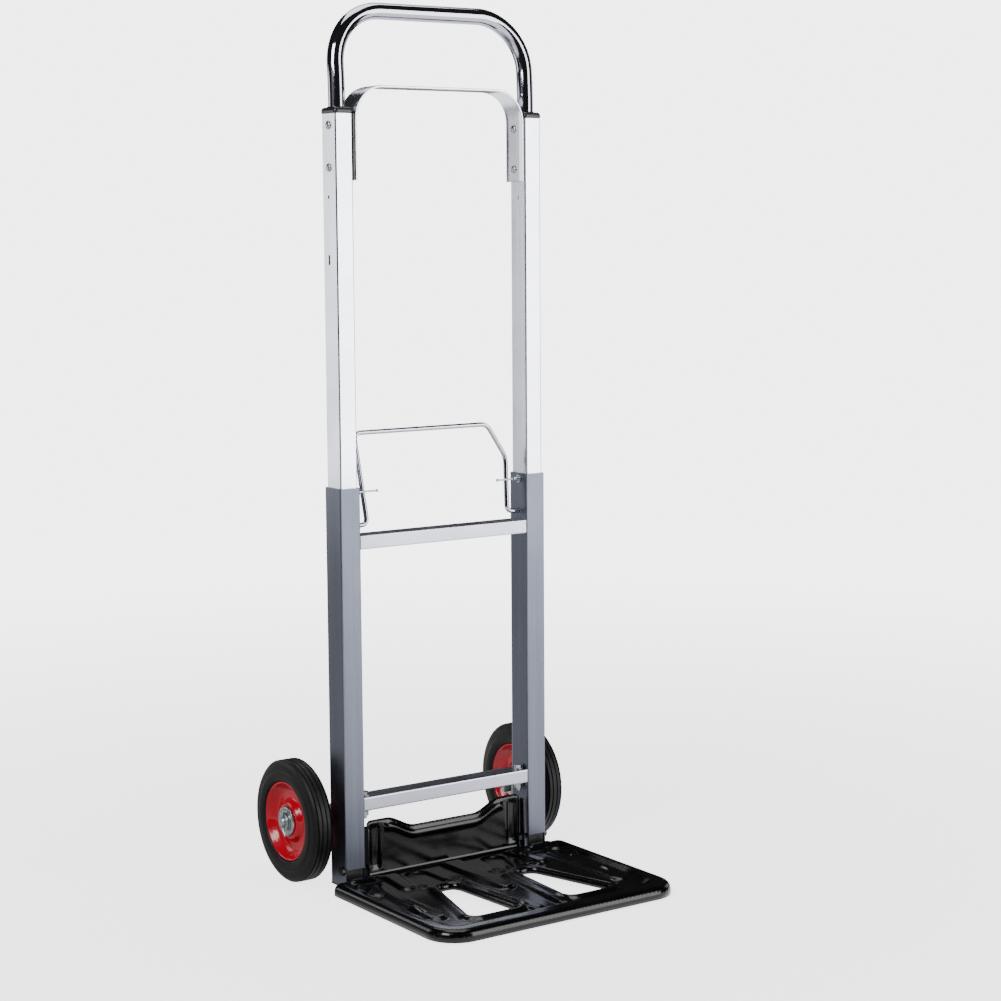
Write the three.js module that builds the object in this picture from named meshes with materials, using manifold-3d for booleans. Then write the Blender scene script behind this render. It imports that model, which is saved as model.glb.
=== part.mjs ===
// A folding two-wheel hand truck: a telescoping aluminium frame on a folding steel toe plate.
// Millimetres. +Z is up, -Y is the toe-plate side, +X is the right-hand side seen from the toe plate.
// The origin is at the bottom centre of the object's bounding box.

import * as THREE from 'three';
import { mergeVertices } from 'three/addons/utils/BufferGeometryUtils.js';
import Module from 'manifold-3d';

const wasm = await Module();
wasm.setup();

// ---------- driving dimensions ----------
const TOTAL_HEIGHT = 1083;
const TOTAL_WIDTH = 390;                // between the outer ends of the axles
const TOTAL_DEPTH = 419;
const GAP = 0.3;                       // air between two pieces that meet

const WHEEL_RADIUS = 77;
const TYRE_WIDTH = 32;
const AXLE_END = 4;                    // how far an axle stands out of its tyre's outer face
const RIM_RADIUS = 50;
const WHEEL_X = TOTAL_WIDTH / 2 - AXLE_END - TYRE_WIDTH / 2;
const WHEEL_Y = TOTAL_DEPTH / 2 - WHEEL_RADIUS;
const AXLE_RADIUS = 6;

const RAIL = { width: 28, depth: 36, wall: 1.5, bottom: 6, top: 500 };
const RAIL_X = 138;                    // centre of a rail
const RAIL_FRONT = 46.5;
const RAIL_REAR = RAIL_FRONT + RAIL.depth;
const RAIL_Y = RAIL_FRONT + RAIL.depth / 2;
const RAIL_INNER_X = RAIL_X - RAIL.width / 2;
const RAIL_OUTER_X = RAIL_X + RAIL.width / 2;

const CROSSBAR = { height: 17, depth: 28, wall: 1.5 };
const LOWER_CROSSBAR_Z = 97.5;
const UPPER_CROSSBAR_Z = 424;

const TUBE = { width: 23.5, depth: 31.5, wall: 1.2, bottom: 428, top: 948.5 };
const TUBE_INNER_X = RAIL_X - TUBE.width / 2;
const TUBE_OUTER_X = RAIL_X + TUBE.width / 2;
const SLIDE_TRAVEL = 357;
const LATCH_Z = 493;
const LATCH_Y = RAIL_FRONT + 16.35;

const LOOP_RADIUS = 10.25;
const LOOP_WALL = 1.5;
const LOOP_BEND = 66;
const LOOP_BOTTOM = 869;
const LOOP_SWEEP = 11;                 // how far the loop's top leans back
const LOOP_SWEEP_START = 963;

const STRAP = { thickness: 3, front: RAIL_FRONT + 0.5, depth: 35, bottom: 869.5, top: 983, bend: 40 };
const SPACER_THICKNESS = 2.2;
const STRAP_OUTER_X = TUBE_INNER_X - SPACER_THICKNESS - 2 * GAP;
const STRAP_RIVET_HEIGHTS = [885, 935];
const RIVET_RADIUS = 2.5;

const TOE = {
  half: 175, front: -TOTAL_DEPTH / 2, rear: RAIL_FRONT - 1,
  sheet: 2.5, bottom: 1.5, rim: 16, pan: 8,
};
const CUTOUT_REAR = RAIL_FRONT - 82;
const CUTOUT_FRONT = RAIL_FRONT - 206;
const TOE_PIVOT_Y = RAIL_FRONT + 7;
const TOE_PIVOT_Z = 25;
const HINGE_BOLT_RADIUS = 3;
const FLANGE_HALF = 116;
const FLANGE_FRONT = RAIL_FRONT + 9;
const FLANGE_TOP = 82;
const FLANGE_DIP = 67;                 // height of its upper edge between the two horns

const SWING_Y = RAIL_REAR + 11.5;      // vertical pivot of a wheel bracket, behind its rail
const SWING_PIN_RADIUS = 4;
const KNUCKLE = { radius: 8, bottom: 59, top: 94 };
const PLATE_THICKNESS = 2.2;           // sheet of the wheel brackets' fixed halves
const AXLE_PLATE_X = 152;

const BAIL_WIRE = 3;                   // radius of the release bail's wire
const BAIL_Y = RAIL_FRONT + 16.25;
const BAIL_Z = 452;
const BAIL_LEAN = THREE.MathUtils.degToRad(7.3);

// ---------- materials ----------
const finish = (color, roughness, metalness) =>
  new THREE.MeshStandardMaterial({ color, roughness, metalness });
const satinAluminium = () => finish(0xa9adb6, 0.38, 1);
const brightAluminium = () => finish(0xdfe1e6, 0.32, 1);
const chrome = () => finish(0xc9ccd2, 0.06, 1);
const zinc = () => finish(0xb4bdc2, 0.3, 1);
const blackEnamel = () => finish(0x0b0b0d, 0.14, 0);
const blackPlastic = () => finish(0x141416, 0.45, 0);
const blackRubber = () => finish(0x19191a, 0.7, 0);
const redPaint = () => finish(0xb80f1c, 0.25, 0);

// ---------- geometry helpers ----------
const truck = new THREE.Group();

// Keeps positions only, merges shared corners and turns the faces outwards.
function closed(geometry) {
  const bare = geometry.clone();
  bare.deleteAttribute('normal');
  bare.deleteAttribute('uv');
  const merged = mergeVertices(bare, 1e-4);
  const p = merged.getAttribute('position');
  const index = merged.getIndex().array;
  const a = new THREE.Vector3();
  const b = new THREE.Vector3();
  const c = new THREE.Vector3();
  let volume = 0;
  for (let i = 0; i < index.length; i += 3) {
    a.fromBufferAttribute(p, index[i]);
    b.fromBufferAttribute(p, index[i + 1]);
    c.fromBufferAttribute(p, index[i + 2]);
    volume += a.dot(b.cross(c));
  }
  if (volume < 0) {
    for (let i = 0; i < index.length; i += 3) {
      [index[i], index[i + 1]] = [index[i + 1], index[i]];
    }
  }
  return merged;
}

function solid(geometry) {
  const g = closed(geometry);
  return new wasm.Manifold(new wasm.Mesh({
    numProp: 3,
    vertProperties: new Float32Array(g.getAttribute('position').array),
    triVerts: new Uint32Array(g.getIndex().array),
  }));
}

function geometryOf(manifold) {
  const mesh = manifold.getMesh();
  const g = new THREE.BufferGeometry();
  g.setAttribute('position', new THREE.BufferAttribute(mesh.vertProperties, 3));
  g.setIndex(new THREE.BufferAttribute(mesh.triVerts, 1));
  return g;
}

const unite = (pieces) => geometryOf(pieces.map(solid).reduce((sum, next) => sum.add(next)));
const cut = (base, tools) =>
  geometryOf(tools.map(solid).reduce((left, next) => left.subtract(next), solid(base)));

function box(x0, x1, y0, y1, z0, z1) {
  const g = new THREE.BoxGeometry(Math.abs(x1 - x0), y1 - y0, z1 - z0);
  return g.translate((x0 + x1) / 2, (y0 + y1) / 2, (z0 + z1) / 2);
}

function rodX(x0, x1, y, z, radius, sides = 16) {
  const g = new THREE.CylinderGeometry(radius, radius, Math.abs(x1 - x0), sides);
  return g.rotateZ(Math.PI / 2).translate((x0 + x1) / 2, y, z);
}

function rodZ(x, y, z0, z1, radius, sides = 16) {
  const g = new THREE.CylinderGeometry(radius, radius, z1 - z0, sides);
  return g.rotateX(Math.PI / 2).translate(x, y, (z0 + z1) / 2);
}

function add(name, geometry, material, position = [0, 0, 0]) {
  const mesh = new THREE.Mesh(geometry, material);
  mesh.name = name;
  mesh.position.set(...position);
  truck.add(mesh);
}

// A polygon with rounded corners, traced into a Shape or Path.
function roundedOutline(path, points, radii) {
  const corner = (i) => new THREE.Vector2(...points[(i + points.length) % points.length]);
  const towards = (from, to, distance) => from.clone().add(to.clone().sub(from).setLength(distance));
  points.forEach((_, i) => {
    const radius = Array.isArray(radii) ? radii[i] : radii;
    const here = corner(i);
    const enter = towards(here, corner(i - 1), radius);
    const leave = towards(here, corner(i + 1), radius);
    if (i === 0) path.moveTo(enter.x, enter.y);
    else path.lineTo(enter.x, enter.y);
    path.quadraticCurveTo(here.x, here.y, leave.x, leave.y);
  });
  path.closePath();
  return path;
}

const rectangle = (halfX, halfY) =>
  [[-halfX, -halfY], [halfX, -halfY], [halfX, halfY], [-halfX, halfY]];

function extrude(shape, depth, curveSegments = 4) {
  return new THREE.ExtrudeGeometry(shape, { depth, bevelEnabled: false, curveSegments });
}

// A hollow rectangular bar along Z with its section centred on the axis.
function rectangularTube(width, depth, wall, length) {
  const shape = roundedOutline(new THREE.Shape(), rectangle(width / 2, depth / 2), 1.5);
  shape.holes.push(roundedOutline(new THREE.Path(), rectangle(width / 2 - wall, depth / 2 - wall), 0.6));
  return extrude(shape, length, 2);
}

// Revolves a profile of [radius, outboard] points about the wheel's axle.
function revolve(profile, side, segments = 24) {
  const points = profile.map(([radius, outboard]) => new THREE.Vector2(radius, outboard));
  return new THREE.LatheGeometry(points, segments).rotateZ(-side * Math.PI / 2);
}

// ---------- lower frame ----------
function lowerRail(side) {
  const tube = rectangularTube(RAIL.width, RAIL.depth, RAIL.wall, RAIL.top - RAIL.bottom)
    .translate(0, 0, RAIL.bottom);
  const inner = -side * RAIL.width / 2;
  const frontNotch = box(-RAIL.width / 2 + RAIL.wall, RAIL.width / 2 - RAIL.wall,
    -RAIL.depth / 2 - 1, -RAIL.depth / 2 + RAIL.wall + 0.1, 0, RAIL.bottom + 21);
  const boltHole = rodX(-20, 20, TOE_PIVOT_Y - RAIL_Y, TOE_PIVOT_Z, HINGE_BOLT_RADIUS + GAP, 12);
  const latchHole = rodX(inner - 4, inner + 4, LATCH_Y - RAIL_Y, LATCH_Z, 1.6, 12);
  const bailHole = rodX(inner - 4, inner + 4, BAIL_Y - RAIL_Y, BAIL_Z, BAIL_WIRE + GAP, 16);
  return cut(tube, [frontNotch, boltHole, latchHole, bailHole]);
}

function crossbar(z, boltHoles) {
  const half = RAIL_INNER_X - GAP;
  const bar = rectangularTube(CROSSBAR.height, CROSSBAR.depth, CROSSBAR.wall, 2 * half)
    .translate(0, 0, -half)
    .rotateY(Math.PI / 2)
    .translate(0, RAIL_FRONT + 0.5 + CROSSBAR.depth / 2, z + CROSSBAR.height / 2);
  return boltHoles.length ? cut(bar, boltHoles) : closed(bar);
}

const TAB_BOLT = { x: 117, y: RAIL_FRONT + 12, radius: 3 };
const TAB_INNER_X = 109;

function pivotBracket(side) {
  const shape = new THREE.Shape();
  const plateRear = SWING_Y + 8;
  const x = (value) => side * value;
  shape.moveTo(x(TAB_INNER_X), RAIL_FRONT + 9);
  shape.lineTo(x(RAIL_INNER_X - 0.5), RAIL_FRONT + 9);
  shape.lineTo(x(RAIL_INNER_X - 0.5), RAIL_REAR + GAP);
  shape.lineTo(x(RAIL_OUTER_X - 2), RAIL_REAR + GAP);
  shape.lineTo(x(RAIL_OUTER_X - 2), plateRear - 6);
  shape.lineTo(x(RAIL_OUTER_X - 8), plateRear);
  shape.lineTo(x(RAIL_INNER_X - 4), plateRear);
  shape.lineTo(x(TAB_INNER_X), RAIL_REAR);
  shape.closePath();
  const t = PLATE_THICKNESS;
  const top = LOWER_CROSSBAR_Z - GAP;
  const earTop = KNUCKLE.bottom - 1;
  const backInner = x(RAIL_INNER_X + 2);
  const topPlate = extrude(shape, t).translate(0, 0, top - t);
  const backPlate = box(backInner, x(RAIL_OUTER_X - 2), RAIL_REAR + GAP, RAIL_REAR + 2.6, 47, top - 0.5);
  const bottomEar = box(backInner, x(RAIL_OUTER_X - 2), RAIL_REAR + GAP, plateRear, earTop - t, earTop);
  const lip = box(x(TAB_INNER_X), x(RAIL_INNER_X - 4), RAIL_REAR - 4, RAIL_REAR - 4 + t, top - 17, top - 1);
  const joined = unite([topPlate, backPlate, bottomEar, lip]);
  return cut(joined, [
    rodZ(x(RAIL_X), SWING_Y, 40, 110, SWING_PIN_RADIUS + GAP, 16),
    rodZ(x(TAB_BOLT.x), TAB_BOLT.y, 80, 110, TAB_BOLT.radius + GAP, 12),
  ]);
}

function hexBolt(x, y, headBottom, length, radius) {
  const head = rodZ(x, y, headBottom, headBottom + 4, radius * 1.75, 6);
  const washer = rodZ(x, y, headBottom - 1.2, headBottom + 0.1, radius * 2.1, 16);
  const shank = rodZ(x, y, headBottom - length, headBottom + 0.1, radius, 12);
  return unite([head, washer, shank]);
}

function hexNut(x, y, z, radius) {
  return cut(rodZ(x, y, z, z + 5, radius * 1.75, 6), [rodZ(x, y, z - 1, z + 6, radius + 0.1, 12)]);
}

function railFoot() {
  const body = box(-RAIL.width / 2 + RAIL.wall + GAP, RAIL.width / 2 - RAIL.wall - GAP,
    -RAIL.depth / 2 + RAIL.wall + GAP, RAIL.depth / 2 - RAIL.wall - GAP, RAIL.bottom - 2, RAIL.bottom + 37);
  const sole = box(-RAIL.width / 2, RAIL.width / 2, -RAIL.depth / 2, RAIL.depth / 2,
    RAIL.bottom - 2.5, RAIL.bottom - GAP);
  const hole = rodX(-20, 20, TOE_PIVOT_Y - RAIL_Y, TOE_PIVOT_Z, HINGE_BOLT_RADIUS + GAP, 12);
  return cut(unite([body, sole]), [hole]);
}

function hingeBolt(side) {
  const along = (from, to, radius, sides) =>
    rodX(side * from, side * to, TOE_PIVOT_Y, TOE_PIVOT_Z, radius, sides);
  const head = along(RAIL_OUTER_X + GAP, RAIL_OUTER_X + 3.4, 5.6, 16);
  const shank = along(FLANGE_HALF - 5.5, RAIL_OUTER_X + 1, HINGE_BOLT_RADIUS, 12);
  return unite([head, shank]);
}

function hingeNut(side) {
  const along = (from, to, radius, sides) =>
    rodX(side * from, side * to, TOE_PIVOT_Y, TOE_PIVOT_Z, radius, sides);
  const nut = along(FLANGE_HALF - 5, FLANGE_HALF, 5.4, 6);
  return cut(nut, [along(FLANGE_HALF - 8, FLANGE_HALF + 2, HINGE_BOLT_RADIUS + 0.1, 12)]);
}

function latchGuide(side) {
  const inner = RAIL_INNER_X - GAP;
  const sleeve = rodX(side * (inner - 9), side * inner, LATCH_Y, LATCH_Z, 3.2, 16);
  const flange = rodX(side * (inner - 1.2), side * inner, LATCH_Y, LATCH_Z, 5.2, 16);
  const bore = rodX(side * (inner - 12), side * (inner + 2), LATCH_Y, LATCH_Z, 1.6, 12);
  return cut(unite([sleeve, flange]), [bore]);
}

// ---------- toe plate ----------
function toeOutline(target, inset) {
  const half = TOE.half - inset;
  const front = TOE.front + inset;
  const rear = TOE.rear - inset;
  const points = [[-half, front], [half, front], [half, rear], [-half, rear]];
  const frontRadius = 44 - inset;
  const rearRadius = Math.max(14 - inset, 3);
  return roundedOutline(target, points, [frontRadius, frontRadius, rearRadius, rearRadius]);
}

function ring(outer, inner, z0, z1) {
  const shape = toeOutline(new THREE.Shape(), outer);
  shape.holes.push(toeOutline(new THREE.Path(), inner));
  return extrude(shape, z1 - z0, 5).translate(0, 0, z0);
}

const CUTOUT = [[46, CUTOUT_REAR], [71, CUTOUT_REAR], [105, CUTOUT_FRONT], [37, CUTOUT_FRONT]];
const cutoutPoints = (side) => CUTOUT.map(([x, y]) => [side * x, y]);

function flangeShape() {
  const shape = new THREE.Shape();
  shape.moveTo(-FLANGE_HALF, TOE.pan);
  shape.lineTo(FLANGE_HALF, TOE.pan);
  shape.lineTo(FLANGE_HALF, FLANGE_TOP - 6);
  shape.quadraticCurveTo(FLANGE_HALF, FLANGE_TOP, FLANGE_HALF - 6, FLANGE_TOP);
  shape.lineTo(84, FLANGE_TOP);
  shape.bezierCurveTo(68, FLANGE_TOP, 64, FLANGE_DIP, 46, FLANGE_DIP);
  shape.lineTo(-46, FLANGE_DIP);
  shape.bezierCurveTo(-64, FLANGE_DIP, -68, FLANGE_TOP, -84, FLANGE_TOP);
  shape.lineTo(-FLANGE_HALF + 6, FLANGE_TOP);
  shape.quadraticCurveTo(-FLANGE_HALF, FLANGE_TOP, -FLANGE_HALF, FLANGE_TOP - 6);
  shape.closePath();
  return shape;
}

function toePlate() {
  const t = TOE.sheet;
  const rimWidth = 16;
  const panTop = TOE.pan + t;
  const pan = extrude(toeOutline(new THREE.Shape(), rimWidth - t), t, 5).translate(0, 0, TOE.pan);
  const bridge = box(-FLANGE_HALF, FLANGE_HALF, TOE.rear - rimWidth, FLANGE_FRONT + t, TOE.pan, panTop);
  const flange = extrude(flangeShape(), t, 6).rotateX(Math.PI / 2).translate(0, FLANGE_FRONT + t, 0);
  const collars = [-1, 1].map((side) => {
    const collar = roundedOutline(new THREE.Shape(), cutoutPoints(side), 12);
    return extrude(collar, 4, 3).scale(1.1, 1.05, 1)
      .translate(-side * 6.3, 5.2, TOE.pan + 0.5);
  });
  const cutouts = [-1, 1].map((side) =>
    extrude(roundedOutline(new THREE.Shape(), cutoutPoints(side), 12), 40, 4).translate(0, 0, -10));
  const cheekOuter = FLANGE_HALF + 3.5;
  const flangeRear = FLANGE_FRONT + t;
  const cheeks = [-1, 1].map((side) =>
    box(side * (FLANGE_HALF + 1), side * cheekOuter, RAIL_FRONT + 0.5, flangeRear, TOE.pan, FLANGE_TOP - 5));
  const corners = [-1, 1].map((side) =>
    box(side * (FLANGE_HALF - 1), side * (FLANGE_HALF + 2), FLANGE_FRONT, flangeRear, 33, FLANGE_TOP - 7));
  const feet = [-1, 1].map((side) =>
    box(side * (FLANGE_HALF - 2), side * cheekOuter, RAIL_FRONT - 2, flangeRear, TOE.pan, panTop));
  const joined = unite([
    ring(0, t, TOE.bottom, TOE.rim),
    ring(0, rimWidth, TOE.rim - t, TOE.rim),
    ring(rimWidth - t, rimWidth, TOE.pan, TOE.rim),
    pan, bridge, flange, ...collars, ...cheeks, ...corners, ...feet,
  ]);
  const boltBore = rodX(-130, 130, TOE_PIVOT_Y, TOE_PIVOT_Z, HINGE_BOLT_RADIUS + GAP, 16);
  const rimRear = TOE.rear - rimWidth;
  const rearGap = box(4 - FLANGE_HALF, FLANGE_HALF - 4, rimRear + 0.5, TOE.rear + 0.5, panTop, 30);
  const nutNotches = [-1, 1].map((side) =>
    box(side * (FLANGE_HALF - 7), side * (FLANGE_HALF + 0.8), FLANGE_FRONT - 1, flangeRear + 1, 17, 33));
  return cut(joined, [...cutouts, ...nutNotches, rearGap, boltBore]);
}

// ---------- wheels and their folding brackets ----------
const AXLE_Z = WHEEL_RADIUS;
const PIN_OUT = 17.5;                   // the cotter pin's distance outboard of the wheel's middle
const tyreHalf = TYRE_WIDTH / 2;

function tyre(side) {
  const bead = RIM_RADIUS + GAP;
  const profile = [
    [bead, 10.5], [bead + 3, tyreHalf - 0.8], [bead + 12, tyreHalf], [WHEEL_RADIUS - 6, tyreHalf - 0.6],
    [WHEEL_RADIUS - 1, tyreHalf - 4], [WHEEL_RADIUS, 6],
    [WHEEL_RADIUS, -6], [WHEEL_RADIUS - 1, 4 - tyreHalf], [WHEEL_RADIUS - 6, 0.6 - tyreHalf],
    [bead + 12, -tyreHalf], [bead + 3, 0.8 - tyreHalf], [bead, -10.5], [44.5, -4], [44.5, 4], [bead, 10.5],
  ];
  return closed(revolve(profile, side, 32));
}

// One pressed half of the rim; face is 1 for the outboard half and -1 for the inboard half.
// Each has a raised boss round the hub.
function rimHalf(side, face) {
  const profile = [
    [12.4, 7.9], [21.5, 7.9], [27, 0.3], [38, 0.3], [42.6, 4], [RIM_RADIUS - 0.3, 11.6], [RIM_RADIUS, 13],
    [RIM_RADIUS - 1.6, 13.4], [41, 5], [37.5, 1.9], [27.8, 1.9], [22.3, 9.5], [12.4, 9.5], [12.4, 7.9],
  ].map(([radius, outboard]) => [radius, face * outboard]);
  return closed(revolve(profile, side));
}

function hub(side) {
  const bore = AXLE_RADIUS + 0.25;
  const profile = [
    [bore, -10], [12, -10], [12, -2.2], [12, 10.2], [19, 10.2], [19, 12.2], [17.5, 13.4], [12.5, 13.4],
    [12.5, 14.2], [bore, 14.2], [bore, -10],
  ];
  return closed(revolve(profile, side));
}

function axle(side) {
  const collar = 9;
  const outer = TOTAL_WIDTH / 2;
  const rod = rodX(side * (AXLE_PLATE_X - 7.5), side * outer, WHEEL_Y, AXLE_Z, AXLE_RADIUS, 24);
  const seat = AXLE_PLATE_X + 4 + GAP;
  const shoulder = rodX(side * seat, side * (WHEEL_X - 10.3), WHEEL_Y, AXLE_Z, collar, 24);
  const pinHole = rodZ(side * (WHEEL_X + PIN_OUT), WHEEL_Y, AXLE_Z - 12, AXLE_Z + 12, 1.3, 12);
  return cut(unite([rod, shoulder]), [pinHole]);
}

function axleWasher(side) {
  const disc = rodX(side * (WHEEL_X + 14.5), side * (WHEEL_X + 15.9), WHEEL_Y, AXLE_Z, 11, 24);
  const bore = rodX(side * (WHEEL_X + 13), side * (WHEEL_X + 18), WHEEL_Y, AXLE_Z, AXLE_RADIUS + 0.2, 20);
  return cut(disc, [bore]);
}

function cotterPin(side) {
  const x = side * (WHEEL_X + PIN_OUT);
  const stem = rodZ(x, WHEEL_Y, AXLE_Z - 14, AXLE_Z + 10, 1.05, 8);
  const eye = new THREE.TorusGeometry(2.6, 1, 6, 10).rotateY(Math.PI / 2).translate(x, WHEEL_Y, AXLE_Z + 12);
  return unite([stem, eye]);
}

function axleNut(side) {
  const nut = rodX(side * (AXLE_PLATE_X - 7), side * (AXLE_PLATE_X - GAP), WHEEL_Y, AXLE_Z, 9.5, 6);
  const bore = rodX(side * (AXLE_PLATE_X - 9), side * AXLE_PLATE_X, WHEEL_Y, AXLE_Z, AXLE_RADIUS + 0.1, 24);
  return cut(nut, [bore]);
}

function swingBracket(side) {
  const x = (value) => side * value;
  const knuckle = rodZ(x(RAIL_X), SWING_Y, KNUCKLE.bottom, KNUCKLE.top, KNUCKLE.radius, 24);
  const low = KNUCKLE.bottom + 2;
  const high = KNUCKLE.top - 1;
  const web = box(x(RAIL_X), x(AXLE_PLATE_X + 2), SWING_Y - 3, SWING_Y + 3, low, high);
  const plate = box(x(AXLE_PLATE_X), x(AXLE_PLATE_X + 4), SWING_Y - 5, WHEEL_Y + 13, low, high);
  return cut(unite([knuckle, web, plate]), [
    rodZ(x(RAIL_X), SWING_Y, 40, 100, SWING_PIN_RADIUS + GAP, 16),
    rodX(x(AXLE_PLATE_X - 2), x(AXLE_PLATE_X + 8), WHEEL_Y, AXLE_Z, AXLE_RADIUS + GAP, 24),
  ]);
}

function swingPin(side) {
  const x = side * RAIL_X;
  const earBottom = KNUCKLE.bottom - 1 - PLATE_THICKNESS;
  const shank = rodZ(x, SWING_Y, earBottom - 3.5, LOWER_CROSSBAR_Z + 0.2, SWING_PIN_RADIUS, 16);
  const head = rodZ(x, SWING_Y, LOWER_CROSSBAR_Z, LOWER_CROSSBAR_Z + 2.6, 7, 16);
  const tail = rodZ(x, SWING_Y, earBottom - 4, earBottom - 0.4, 6, 16);
  return unite([shank, head, tail]);
}

// ---------- sliding handle ----------
function slidingTube(side) {
  const tube = rectangularTube(TUBE.width, TUBE.depth, TUBE.wall, TUBE.top - TUBE.bottom)
    .translate(0, 0, TUBE.bottom);
  const outer = side * TUBE.width / 2;
  const inner = -outer;
  const rivetHoles = STRAP_RIVET_HEIGHTS.map((z) => rodX(-20, 20, 0, z, RIVET_RADIUS + GAP, 12));
  const lockHoles = [LATCH_Z, LATCH_Z + SLIDE_TRAVEL].map((z) =>
    rodX(inner - 4, inner + 4, LATCH_Y - RAIL_Y, z, 2, 12));
  const sightHole = rodX(outer - 4, outer + 4, 2, LATCH_Z + SLIDE_TRAVEL, 2.2, 12);
  const slot = box(outer - 4, outer + 4, 0.5, 4.5, 769, 781);
  return cut(tube, [...rivetHoles, ...lockHoles, sightHole, slot]);
}

function slideBlock() {
  const halfX = RAIL.width / 2 - RAIL.wall - GAP;
  const halfY = RAIL.depth / 2 - RAIL.wall - GAP;
  const sole = box(-halfX, halfX, -halfY, halfY, TUBE.bottom - 12, TUBE.bottom - GAP);
  const plug = box(-TUBE.width / 2 + TUBE.wall + GAP, TUBE.width / 2 - TUBE.wall - GAP,
    -TUBE.depth / 2 + TUBE.wall + GAP, TUBE.depth / 2 - TUBE.wall - GAP, TUBE.bottom - 2, TUBE.bottom + 20);
  return unite([sole, plug]);
}

function tubeCap() {
  const bottom = TUBE.top + GAP;
  const shape = roundedOutline(new THREE.Shape(), rectangle(TUBE.width / 2 + 1, TUBE.depth / 2 + 1), 3);
  const lid = extrude(shape, 7.7).translate(0, 0, bottom);
  return cut(lid, [rodZ(0, 0, bottom - 5, bottom + 20, LOOP_RADIUS + GAP, 32)]);
}

// The loop's centre line: two legs, two quarter bends and a straight top, leaning back as it rises.
class LoopPath extends THREE.Curve {
  getPoint(t) {
    const top = TOTAL_HEIGHT - LOOP_RADIUS;
    const leg = top - LOOP_BEND - LOOP_BOTTOM;
    const arc = LOOP_BEND * Math.PI / 2;
    const flat = RAIL_X - LOOP_BEND;
    const half = leg + arc + flat;
    const s = Math.abs(2 * t - 1) * half;            // distance from the middle of the top
    let x = s;
    let z = top;
    if (s > flat + arc) {
      x = RAIL_X;
      z = top - LOOP_BEND - (s - flat - arc);
    } else if (s > flat) {
      const angle = (s - flat) / LOOP_BEND;
      x = flat + LOOP_BEND * Math.sin(angle);
      z = top - LOOP_BEND * (1 - Math.cos(angle));
    }
    const rise = Math.max(0, z - LOOP_SWEEP_START) / (top - LOOP_SWEEP_START);
    return new THREE.Vector3(Math.sign(2 * t - 1) * x, RAIL_Y + LOOP_SWEEP * rise * rise, z);
  }
}

function circle(target, radius) {
  return target.absarc(0, 0, radius, 0, 2 * Math.PI);
}

function handleLoop() {
  const section = circle(new THREE.Shape(), LOOP_RADIUS);
  section.holes.push(circle(new THREE.Path(), LOOP_RADIUS - LOOP_WALL));
  const extrudePath = new LoopPath();
  const tube = new THREE.ExtrudeGeometry(section, { steps: 32, curveSegments: 6, extrudePath });
  const holes = STRAP_RIVET_HEIGHTS.map((z) => rodX(-160, 160, RAIL_Y, z, RIVET_RADIUS + GAP, 12));
  return cut(tube, holes);
}

function braceStrap() {
  const shape = new THREE.Shape();
  const trace = (x, top, bend) => {
    shape.lineTo(x, top - bend);
    shape.absarc(x - bend, top - bend, bend, 0, Math.PI / 2, false);
    shape.absarc(bend - x, top - bend, bend, Math.PI / 2, Math.PI, false);
  };
  const inner = STRAP_OUTER_X - STRAP.thickness;
  const innerBend = STRAP.bend - STRAP.thickness;
  shape.moveTo(STRAP_OUTER_X, STRAP.bottom);
  trace(STRAP_OUTER_X, STRAP.top, STRAP.bend);
  shape.lineTo(-STRAP_OUTER_X, STRAP.bottom);
  shape.lineTo(-inner, STRAP.bottom);
  shape.lineTo(-inner, STRAP.top - STRAP.bend);
  shape.absarc(innerBend - inner, STRAP.top - STRAP.bend, innerBend, Math.PI, Math.PI / 2, true);
  shape.absarc(inner - innerBend, STRAP.top - STRAP.bend, innerBend, Math.PI / 2, 0, true);
  shape.lineTo(inner, STRAP.bottom);
  shape.closePath();
  const strap = extrude(shape, STRAP.depth, 12).rotateX(Math.PI / 2)
    .translate(0, STRAP.front + STRAP.depth, 0);
  const holes = STRAP_RIVET_HEIGHTS.map((z) => rodX(-130, 130, RAIL_Y, z, RIVET_RADIUS + GAP, 12));
  return cut(strap, holes);
}

function strapSpacer(side) {
  const outer = TUBE_INNER_X - GAP;
  const strip = box(side * (outer - SPACER_THICKNESS), side * outer, STRAP.front + 0.5, RAIL_Y + 13,
    STRAP.bottom + 1, TUBE.top);
  const holes = STRAP_RIVET_HEIGHTS.map((z) =>
    rodX(side * 110, side * 140, RAIL_Y, z, RIVET_RADIUS + GAP, 12));
  return cut(strip, holes);
}

function domeX(x, direction, y, z, radius, height) {
  const steps = 3;
  const profile = [new THREE.Vector2(0, 0), new THREE.Vector2(radius, 0)];
  for (let i = 1; i <= steps; i++) {
    const angle = i / steps * Math.PI / 2;
    const r = i === steps ? 0 : radius * Math.cos(angle);
    profile.push(new THREE.Vector2(r, height * Math.sin(angle)));
  }
  return new THREE.LatheGeometry(profile, 10).rotateZ(-direction * Math.PI / 2).translate(x, y, z);
}

function strapRivet(side, z) {
  const outerFace = TUBE_OUTER_X + GAP;
  const innerFace = STRAP_OUTER_X - STRAP.thickness - GAP;
  const shank = rodX(side * (innerFace - 0.5), side * (outerFace + 0.5), RAIL_Y, z, RIVET_RADIUS, 12);
  const head = domeX(side * outerFace, side, RAIL_Y, z, 5, 2.6);
  const tail = domeX(side * innerFace, -side, RAIL_Y, z, 5, 2.6);
  return unite([shank, head, tail]);
}

// ---------- release bail and latch pins ----------
// The bail's centre line in its own leaning plane, as [distance from the middle, height over its pivots].
// Its right corner is cut off at a slant and its left one is square.
const BAIL_CORNERS = [
  [124.9, 0], [104.7, 0], [109.2, 70], [84, 113], [-113.5, 113], [-104.7, 0], [-124.9, 0],
];
const BAIL_FILLET = 9;

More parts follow.
